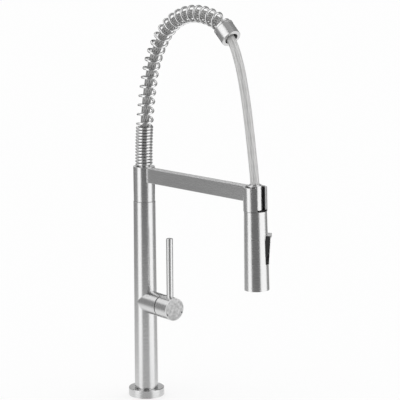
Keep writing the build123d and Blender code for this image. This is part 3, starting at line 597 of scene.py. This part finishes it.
# %% [markdown]
# ## The arch, the spring and the hose
# Spring and hose share one centre line: a short straight foot and five arcs that flow into each other. One function
# walks along that line, and both pieces ask it for their points. The spring is a round wire, wound closely at its
# foot and openly along the arch. A Curve object with a bevel depth draws such a wire well, and it is turned into a
# mesh once its shape is right. The coil winds like a common screw, which shows in which way its near strands lean.

# %% Walk along the arch
arch_bends = ((468.0, 14.4), (150.0, 24.5), (102.0, 46.1), (126.0, 22.7), (38.0, 22.3))
arch_foot = 327.3
arch_straight = 7.7
arch_length = arch_straight + sum(radius * radians(bend) for radius, bend in arch_bends)


def arch_point(travel):
    """Reach, height and heading after so many millimetres along the arch."""
    if travel <= arch_straight:
        return 0.0, arch_foot + travel, 0.0
    travel -= arch_straight
    reach, height, heading = 0.0, arch_foot + arch_straight, 0.0
    for radius, bend in arch_bends:
        part = min(travel, radius * radians(bend)) / radius
        reach += radius * (cos(heading) - cos(heading + part))
        height += radius * (sin(heading + part) - sin(heading))
        heading += part
        travel -= radius * part
    return reach + travel * sin(heading), height + travel * cos(heading), heading


arch_end = arch_point(arch_length)
ferrule_axis = moved(0, -arch_end[0], arch_end[1]) @ Matrix.Rotation(arch_end[2], 4, "X")
print(f"arch: {arch_length:.0f} mm long, it ends {arch_end[0]:.0f} mm out and {arch_end[1]:.0f} mm up")

# %% Draw a wire or tube along points
def draw_tube(name, points, radius, sides, material, stands_for, body=None, kind="POLY"):
    """A round tube along points in millimetres, as a curve with a bevel that is then made a mesh."""
    curve = bpy.data.curves.new(name, "CURVE")
    curve.dimensions = "3D"
    curve.bevel_depth = radius * METRE
    curve.bevel_resolution = sides // 4 - 1
    curve.use_fill_caps = True
    curve.resolution_u = 4
    spline = curve.splines.new(kind)
    spline.points.add(len(points) - 1)
    for place, point in zip(spline.points, points):
        place.co = (*(Vector(point) * METRE), 1)
    if kind == "NURBS":
        spline.order_u = 3
        spline.use_endpoint_u = True
    drawing = bpy.data.objects.new(name + "_line", curve)
    bpy.context.scene.collection.objects.link(drawing)
    bpy.context.view_layer.update()
    graph = bpy.context.evaluated_depsgraph_get()
    mesh = bpy.data.meshes.new_from_object(drawing.evaluated_get(graph))
    bpy.data.objects.remove(drawing)
    mesh.name = name
    mesh.shade_smooth()
    mesh.set_sharp_from_angle(angle=radians(60))
    mesh.materials.clear()
    mesh.materials.append(material)
    piece = bpy.data.objects.new(name, mesh)
    bpy.context.scene.collection.objects.link(piece)
    if body:
        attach(piece, body)
    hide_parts(stands_for)
    print(f"{name}: {len(mesh.polygons)} faces, maps {[layer.name for layer in mesh.uv_layers]}")
    return piece


# %% Wind the spring
wire_radius = 1.75
coil_radius = 10.15
close_turns, close_pitch, open_turns, tuck = 13, 4.24, 21.5, 6.0


def coil_point(turns):
    """Place of the wire's middle after so many turns. The coil is right-handed, like a common screw."""
    first = wire_radius
    last = arch_length + tuck - wire_radius
    close_end = first + close_turns * close_pitch
    if turns <= close_turns:
        travel = first + turns * close_pitch
    else:
        travel = close_end + (last - close_end) * (turns - close_turns) / open_turns
    reach, height, heading = arch_point(travel)
    inward = -coil_radius * cos(2 * pi * turns)
    return (-coil_radius * sin(2 * pi * turns), -(reach + inward * cos(heading)), height - inward * sin(heading))


spring_steel = brushed_steel("drawn_wire_steel", (260, 260, 260), tone=0.78, rough=0.12)
steps_per_turn = 28
wire = [coil_point(i / steps_per_turn) for i in range(round((close_turns + open_turns) * steps_per_turn) + 1)]
draw_tube("spring_wire", wire, wire_radius, 16, spring_steel, "spring", body="spout")

# %% [markdown]
# ## Ferrule
# The spring's upper end is tucked into a turned cap. It has a collar where the spring enters and a wide mouth lined
# with black plastic, and the hose slides through it.

# %% Turn the ferrule and its lining
ferrule_outline = [
    (11.95, 0), (13.6, 0), (13.6, 2.4), (13.2, 2.4), (13.2, 21.5), (8.8, 21.5), (8.8, 6.1), (11.95, 6.1),
]
bm = lathe(ferrule_outline)
soften(bm, 0.45, 3, where=lambda p: p.xy.length > 13 and p.z > 20)
soften(bm, 0.25, 2, where=lambda p: p.xy.length > 13.4 or (p.xy.length < 9 and p.z > 20))
ferrule_steel = brushed_steel("ferrule_steel", (300, 300, 300), tone=0.74, rough=0.24)
finish_piece(bm, "ferrule_cap", "spout", ferrule_steel, ferrule_axis, ["spring_ferrule"])

bm = lathe([(7.1, 7.5), (8.7, 7.5), (8.7, 20), (7.1, 20)])
soften(bm, 0.5, 3)
finish_piece(bm, "ferrule_lining", "spout", black_plastic, ferrule_axis, ["hose_guide"])

# %% [markdown]
# ## The braided hose
# The hose follows the arch inside the spring, leaves the ferrule and swings down to the spray's neck. Below the
# ferrule its line is a soft NURBS spline through a few corners, because a hose has no sharp turns. The braid is two
# sets of thin strands that cross. They follow the hose's own UV map, whose u runs along the hose and whose v runs
# round it, so that the pattern stays the same size along every bend. Inside the spring the gaps between the strands
# are painted darker than below the ferrule: a painted shade of the coil, which keeps the light off them.

# When the spray is pulled down, the hose's lower end goes with it and the part in the spring stays where it is. The
# stretch between them is laid along a slanting line, so that the hose's foot in the column counts as still.

# %% Lay the hose
def spray_point(height):
    """A point on the spray's axis."""
    return spray_axis @ Vector((0, 0, height))


past_ferrule = 23.0
hose_step = 9.0
leave = arch_point(arch_length + past_ferrule)
entry = spray_point(17.0)
# Corners between ferrule and spray, as shares of the way out and of the way down
below = [(0.326, 0.159), (0.59, 0.395), (0.76, 0.619), (0.893, 0.82)]
hose_line = [(0, 0, 319.5)]
for i in range(3, int(arch_length // hose_step) + 1):
    reach, height, heading = arch_point(i * hose_step)
    hose_line.append((0, -reach, height))
hose_line.append((0, -leave[0], leave[1]))
for out, down in below:
    hose_line.append((0, -(leave[0] + out * (-entry.y - leave[0])), leave[1] + down * (entry.z - leave[1])))
hose_line += [tuple(entry), tuple(spray_point(6.0)), tuple(spray_point(-3.9))]
hose_length = sum((Vector(b) - Vector(a)).length for a, b in zip(hose_line, hose_line[1:]))
print(f"spray hose: {hose_length:.0f} mm from its nipple to its crimp")

# %% Weave the braid
braid, nodes, links, shader = new_material("hose_braid_weave")
hose_map = nodes.new("ShaderNodeUVMap")
hose_map.uv_map = "UVMap"
split = nodes.new("ShaderNodeSeparateXYZ")
links.new(hose_map.outputs["UV"], split.inputs["Vector"])


def braid_maths(operation, a, b):
    """One sum in the braid's material."""
    return maths(nodes, links, operation, a, b)


turns_round = 11
turns_along = 40
gap_depth_with_painted_coil_shade = 0.74
depth_below = 0.42
along = braid_maths("MULTIPLY", split.outputs["X"], turns_along)
round_it = braid_maths("MULTIPLY", split.outputs["Y"], turns_round)
one_way = braid_maths("PINGPONG", braid_maths("ADD", along, round_it), 0.5)
other_way = braid_maths("PINGPONG", braid_maths("SUBTRACT", along, round_it), 0.5)
weave = braid_maths("MAXIMUM", one_way, other_way)
gap = braid_maths("SUBTRACT", 1.0, spread(nodes, links, weave, 0.0, 1.0))
# Painted shade: inside the spring the gaps get a deeper dark tone that stands for the coil's shadow. free_part marks
# the hose below the ferrule, where only the braid's own gap tone stays.
free_from = 1 - (len(below) + 3) / (len(hose_line) - 1)
free_part = braid_maths("GREATER_THAN", split.outputs["X"], free_from)
depth = braid_maths("SUBTRACT", gap_depth_with_painted_coil_shade, braid_maths("MULTIPLY", free_part, gap_depth_with_painted_coil_shade - depth_below))
shade = braid_maths("SUBTRACT", 1.0, braid_maths("MULTIPLY", gap, depth))
links.new(two_tones(nodes, links, shade, (0.0, 0.0, 0.0), (1.0, 1.0, 0.99)), shader.inputs["Base Color"])
shader.inputs["Metallic"].default_value = 0.2
shader.inputs["Roughness"].default_value = 0.42
relief(nodes, links, shader, weave, 0.5, 0.0004)

# %% Draw the hose
hose = draw_tube("braided_hose", hose_line, 5.9, 24, braid, "spray_hose", kind="NURBS")
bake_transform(hose)

# %% [markdown]
# ## Spray
# The spray hangs from a round connector that docks in the ring. Its shell is a tube that widens a little towards
# the foot, with a pocket for the trigger in one side. The pocket is cut like the ring's slot: the spin is scored by
# planes, the faces inside the window are deleted, and the inner and outer rims are bridged, which gives the sheet
# metal its thickness.

# %% Turn the connector
bm = lathe([(0, -21.3), (10, -21.3), (10, 12.5), (7.5, 12.5), (7.5, 3), (0, 3)], closed=False)
soften(bm, 1.6, 4, where=lambda p: p.xy.length > 9.5 and p.z > 12)
soften(bm, 0.25, 2, where=lambda p: 7 < p.xy.length < 8 and p.z > 12)
finish_piece(bm, "dock_connector", "spray_connector", spray_steel, spray_axis, ["spray_neck"])

bm = lathe([(6.2, 2), (7.4, 2), (7.4, 13.5), (6.2, 13.5)])
soften(bm, 0.4, 3, where=lambda p: p.z > 13)
finish_piece(bm, "crimp_collar", "spray_connector", spray_steel, spray_axis, ["hose_crimp"])

# %% Turn the shell and open its pocket
def open_window(bm, half_width, low, high):
    """Cut a window through a turned tube, on its -Y side, and bridge its inner and outer rims."""
    planes = [((0, 0, low), (0, 0, 1)), ((0, 0, high), (0, 0, 1))]
    planes += [((side * half_width, 0, 0), (1, 0, 0)) for side in (-1, 1)]
    for place, normal in planes:
        front = [face for face in bm.faces if face.calc_center_median().y < -5]
        geom = front + list({edge for face in front for edge in face.edges} | {v for f in front for v in f.verts})
        bmesh.ops.bisect_plane(bm, geom=geom, dist=0.0001, plane_co=place, plane_no=normal)
    window = []
    for face in bm.faces:
        middle = face.calc_center_median()
        if middle.y < -5 and abs(middle.x) < half_width and low < middle.z < high:
            window.append(face)
    bmesh.ops.delete(bm, geom=window, context="FACES")
    rims = [edge for edge in bm.edges if edge.is_boundary]
    bmesh.ops.bridge_loops(bm, edges=rims)
    bmesh.ops.recalc_face_normals(bm, faces=bm.faces)


shell_outline = [
    (7.1, -27.4), (7.1, -21.4), (14.95, -21.4), (16.35, -125), (14.5, -125), (14.5, -112), (13.2, -112), (13.2, -27.4),
]
bm = lathe(shell_outline, steps=128)
open_window(bm, half_width=10.25, low=-90.9, high=-50.1)
soften(bm, 0.8, 4, where=lambda p: p.xy.length > 14.5 and p.z > -22)
soften(bm, 0.25, 2, where=lambda p: p.xy.length > 14.3 and p.z < -124)
soften(bm, 0.25, 2, where=lambda p: p.xy.length > 14 and -91.5 < p.z < -49.5 and p.y < -5, angle=50)
finish_piece(bm, "spray_shell_tube", "spray_head", spray_steel, trigger_axis, ["spray_shell"])

# %% [markdown]
# ## Trigger
# The trigger's front is a thin flat plate with a lip for the thumb along its upper edge and a ledge along its foot,
# over a black plastic paddle. Both are drawn as an outline seen from the side and pulled across the trigger's width.

# %% Fold the trigger's plate and mould its paddle
trigger_half = 9.8


def across_bar(profile, half_width):
    """A bar across the trigger, from a closed outline of depth and height in its middle plane."""
    bm = bmesh.new()
    section = bm.faces.new([bm.verts.new((-half_width, -depth, height)) for depth, height in profile])
    pulled = bmesh.ops.extrude_face_region(bm, geom=[section])
    corners = [item for item in pulled["geom"] if isinstance(item, bmesh.types.BMVert)]
    bmesh.ops.translate(bm, vec=(2 * half_width, 0, 0), verts=corners)
    bmesh.ops.recalc_face_normals(bm, faces=bm.faces)
    return bm


plate_outline = [
    (12.8, -90), (16.7, -90), (16.7, -56), (18.1, -52.4), (17.6, -51.4), (9.9, -51.4), (9.9, -52.8), (15.4, -52.8),
    (15.7, -56), (15.7, -88.8), (12.8, -88.8),
]
bm = across_bar(plate_outline, trigger_half)
soften(bm, 0.6, 4)
finish_piece(bm, "trigger_front", "trigger", lip_steel, trigger_rest, ["trigger_plate"])

paddle_outline = [(9.9, -88.8), (15.7, -88.8), (15.7, -56), (15.4, -52.8), (9.9, -52.8)]
bm = across_bar(paddle_outline, trigger_half - 0.3)
soften(bm, 0.2, 2)
finish_piece(bm, "trigger_body", "trigger", black_plastic, trigger_rest, ["trigger_paddle"])

# %% [markdown]
# ## Finishes of the CAD pieces
# The other pieces keep their CAD mesh, because their shape is right and little of them shows. Each one gets the
# finish of the real part: machined steel, brass, moulded plastic or rubber.

# %% Give every remaining piece its finish
finishes = {
    "plain_steel": plain_steel, "satin_steel": turned_steel, "spring_steel": spring_steel, "lip_steel": lip_steel,
    "brass": brass_metal, "ceramic_white": white_ceramic, "black_plastic": black_plastic,
    "grey_plastic": grey_plastic, "black_rubber": black_rubber, "hose_braid": braid, "index_inlay": inlay_dark,
}
slot_of = {part["node"]: part["material_slot"] for part in frame["record"]["subparts"]}
slot_of["sleeve_cap"] = "satin_steel"  # its rim shows round the spring's foot, so it is brushed like the sleeve
for name, node in frame["nodes"].items():
    for place in node.material_slots:
        place.material = finishes[slot_of[name]]
print("CAD pieces with a finish:", len(frame["nodes"]))
